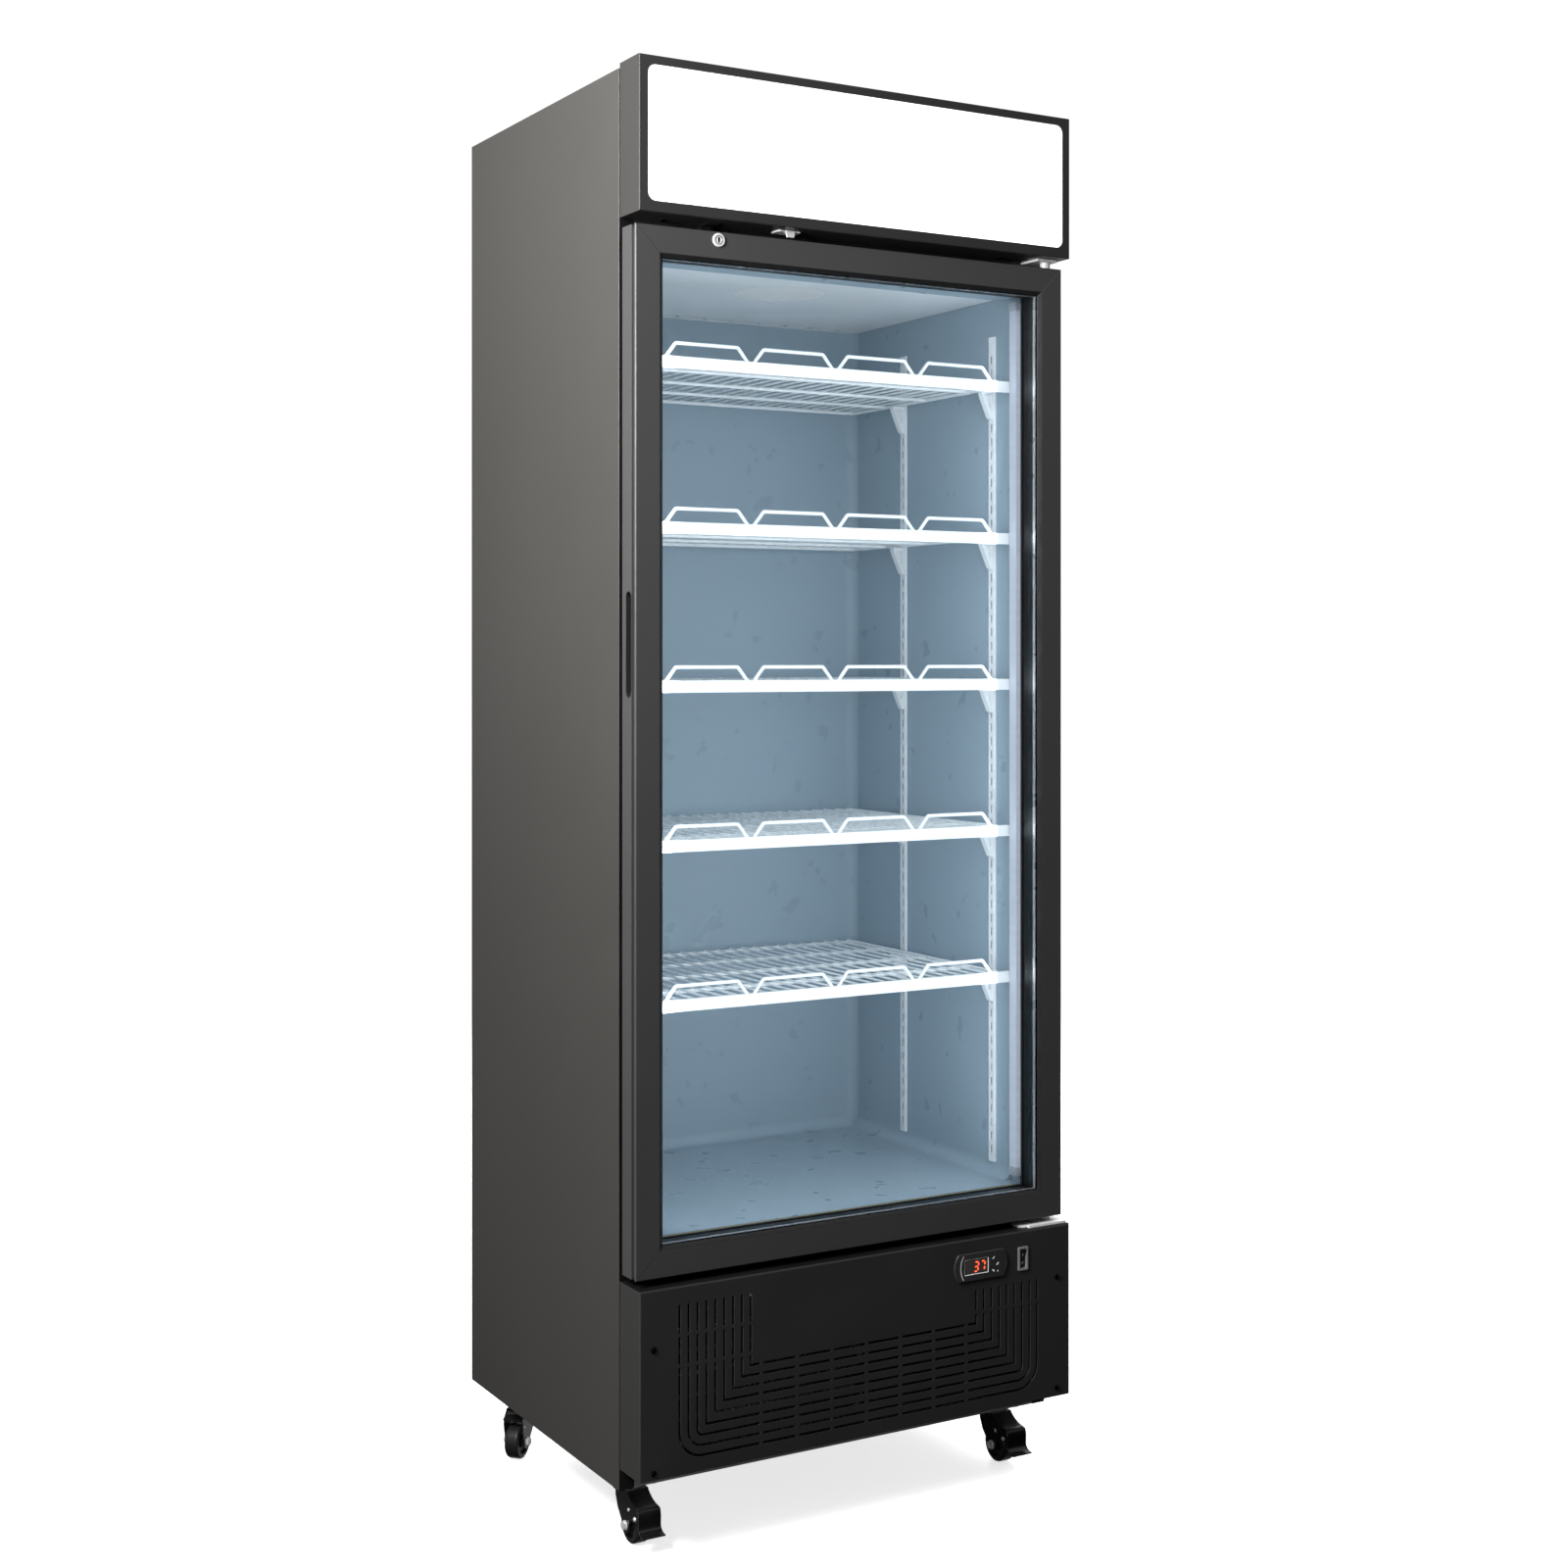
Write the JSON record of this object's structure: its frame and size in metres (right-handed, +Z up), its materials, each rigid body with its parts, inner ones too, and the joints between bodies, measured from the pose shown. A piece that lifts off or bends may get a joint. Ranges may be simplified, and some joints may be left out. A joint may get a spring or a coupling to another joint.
{
  "type": "glass door merchandiser",
  "caption": "Upright one-door display refrigerator with lit header box, hinged glass door, wire shelves, slotted base panel and swivel casters.",
  "frame": {"origin": "on the floor under the centre of the whole object", "axes": "+Z up, -Y is the door side, +X to the right seen from the front"},
  "size_m": [0.685, 0.6, 1.9436],
  "materials": {
    "painted_side": "satin",
    "painted_front": "satin",
    "painted_door": "satin",
    "galvanised": "galvanised",
    "plated": "polished",
    "white_liner": "satin",
    "white_plastic": "satin",
    "white_wire": "gloss powder coat",
    "foam": "foam",
    "led": "emissive diffuser",
    "sign": "emissive diffuser",
    "black_plastic": "satin",
    "black_gloss": "gloss",
    "gasket_rubber": "matte",
    "glass": "clear",
    "spacer_aluminium": "satin",
    "aluminium": "mill",
    "copper": "drawn tube",
    "compressor_black": "gloss",
    "button_black": "matte",
    "caster_steel": "gloss black plating",
    "wheel_black": "satin",
    "screw_black": "black zinc"
  },
  "bodies": {
    "cabinet": {"side_panel_left": "painted_side", "side_panel_right": "painted_side", "top_panel": "painted_side", "rear_panel": "galvanised", "front_frame": "black_plastic", "inner_liner": "white_liner", "foam_insulation": "foam", "base_frame": "galvanised", "grille_panel": "painted_front", "panel_screws": "screw_black", "thermostat_housing": "black_gloss", "rocker_housing": "black_plastic", "canopy_housing": "painted_front", "light_panel": "sign", "led_strips": "led", "lock_catch": "plated", "hinge_brackets": "plated", "shelf_standards": "white_wire", "shelf_clips": "white_plastic", "fan_motors": "galvanised", "evaporator_coil": "aluminium", "evaporator_cover": "white_plastic", "condenser_coil": "aluminium", "condenser_shroud": "galvanised", "compressor": "compressor_black", "refrigerant_tubing": "copper", "drain_pan": "black_plastic", "cord_gland": "black_plastic", "rear_spacers": "black_plastic", "caster_plates": "caster_steel"},
    "door": {"door_frame": "painted_door", "handle_pocket": "black_plastic", "glazing_bead": "black_plastic", "glass_outer": "glass", "glass_inner": "glass", "glass_spacer": "spacer_aluminium", "door_gasket": "gasket_rubber", "lock_barrel": "plated"},
    "lock_plug": {"lock_plug": "plated"},
    "rocker": {"rocker": "black_plastic"},
    "evaporator_fan": {"evaporator_fan": "black_plastic"},
    "condenser_fan": {"condenser_fan": "aluminium"},
    "button_up": {"button_up": "button_black"},
    "button_set": {"button_set": "button_black"},
    "button_down": {"button_down": "button_black"},
    "shelf_1": {"shelf_1": "white_wire"},
    "shelf_2": {"shelf_2": "white_wire"},
    "shelf_3": {"shelf_3": "white_wire"},
    "shelf_4": {"shelf_4": "white_wire"},
    "shelf_5": {"shelf_5": "white_wire"},
    "caster_front_left": {"caster_fork_front_left": "caster_steel"},
    "wheel_front_left": {"caster_wheel_front_left": "wheel_black"},
    "caster_front_right": {"caster_fork_front_right": "caster_steel"},
    "wheel_front_right": {"caster_wheel_front_right": "wheel_black"},
    "caster_rear_left": {"caster_fork_rear_left": "caster_steel"},
    "wheel_rear_left": {"caster_wheel_rear_left": "wheel_black"},
    "caster_rear_right": {"caster_fork_rear_right": "caster_steel"},
    "wheel_rear_right": {"caster_wheel_rear_right": "wheel_black"},
    "brake_front_left": {"brake_pedal_front_left": "caster_steel"},
    "brake_front_right": {"brake_pedal_front_right": "caster_steel"}
  },
  "joints": [
    {"name": "door_hinge", "type": "hinge", "parent": "cabinet", "child": "door", "pos_m": [0.322, -0.266, 1.05], "axis": [0, 0, 1], "range_deg": [0, 110]},
    {"name": "lock_turn", "type": "hinge", "parent": "door", "child": "lock_plug", "pos_m": [-0.222, -0.26, 1.718], "axis": [0, -1, 0], "range_deg": [0, 90]},
    {"name": "rocker_tilt", "type": "hinge", "parent": "cabinet", "child": "rocker", "pos_m": [0.2595, -0.293, 0.3245], "axis": [-1, 0, 0], "range_deg": [0, 20]},
    {"name": "evaporator_fan_spin", "type": "hinge", "parent": "cabinet", "child": "evaporator_fan", "pos_m": [0, -0.06, 1.712], "axis": [0, 0, 1], "continuous": true},
    {"name": "condenser_fan_spin", "type": "hinge", "parent": "cabinet", "child": "condenser_fan", "pos_m": [-0.11, -0.118, 0.205], "axis": [0, 1, 0], "continuous": true},
    {"name": "button_up_press", "type": "slide", "parent": "cabinet", "child": "button_up", "axis": [0, 1, 0], "range_m": [0, 0.0006], "stiffness_N_per_m": 200, "springref_m": -0.001},
    {"name": "button_set_press", "type": "slide", "parent": "cabinet", "child": "button_set", "axis": [0, 1, 0], "range_m": [0, 0.0006], "stiffness_N_per_m": 200, "springref_m": -0.001},
    {"name": "button_down_press", "type": "slide", "parent": "cabinet", "child": "button_down", "axis": [0, 1, 0], "range_m": [0, 0.0006], "stiffness_N_per_m": 200, "springref_m": -0.001},
    {"name": "shelf_1_lift", "type": "slide", "parent": "cabinet", "child": "shelf_1", "axis": [0, 0, 1], "range_m": [0, 0.02]},
    {"name": "shelf_2_lift", "type": "slide", "parent": "cabinet", "child": "shelf_2", "axis": [0, 0, 1], "range_m": [0, 0.02]},
    {"name": "shelf_3_lift", "type": "slide", "parent": "cabinet", "child": "shelf_3", "axis": [0, 0, 1], "range_m": [0, 0.02]},
    {"name": "shelf_4_lift", "type": "slide", "parent": "cabinet", "child": "shelf_4", "axis": [0, 0, 1], "range_m": [0, 0.02]},
    {"name": "shelf_5_lift", "type": "slide", "parent": "cabinet", "child": "shelf_5", "axis": [0, 0, 1], "range_m": [0, 0.02]},
    {"name": "swivel_front_left", "type": "hinge", "parent": "cabinet", "child": "caster_front_left", "pos_m": [-0.296, -0.172, 0.07], "axis": [0, 0, 1], "continuous": true},
    {"name": "roll_front_left", "type": "hinge", "parent": "caster_front_left", "child": "wheel_front_left", "pos_m": [-0.296, -0.192, 0.025], "axis": [1, 0, 0], "continuous": true},
    {"name": "swivel_front_right", "type": "hinge", "parent": "cabinet", "child": "caster_front_right", "pos_m": [0.296, -0.172, 0.07], "axis": [0, 0, 1], "continuous": true},
    {"name": "roll_front_right", "type": "hinge", "parent": "caster_front_right", "child": "wheel_front_right", "pos_m": [0.296, -0.192, 0.025], "axis": [1, 0, 0], "continuous": true},
    {"name": "swivel_rear_left", "type": "hinge", "parent": "cabinet", "child": "caster_rear_left", "pos_m": [-0.296, 0.184, 0.07], "axis": [0, 0, 1], "continuous": true},
    {"name": "roll_rear_left", "type": "hinge", "parent": "caster_rear_left", "child": "wheel_rear_left", "pos_m": [-0.31086, 0.17062, 0.025], "axis": [0.6691, -0.7431, 0], "continuous": true},
    {"name": "swivel_rear_right", "type": "hinge", "parent": "cabinet", "child": "caster_rear_right", "pos_m": [0.296, 0.184, 0.07], "axis": [0, 0, 1], "continuous": true},
    {"name": "roll_rear_right", "type": "hinge", "parent": "caster_rear_right", "child": "wheel_rear_right", "pos_m": [0.30539, 0.20166, 0.025], "axis": [-0.8829, 0.4695, 0], "continuous": true},
    {"name": "brake_front_left_press", "type": "hinge", "parent": "caster_front_left", "child": "brake_front_left", "pos_m": [-0.296, -0.221, 0.0425], "axis": [1, 0, 0], "range_deg": [0, 12]},
    {"name": "brake_front_right_press", "type": "hinge", "parent": "caster_front_right", "child": "brake_front_right", "pos_m": [0.296, -0.221, 0.0425], "axis": [1, 0, 0], "range_deg": [0, 12]}
  ]
}
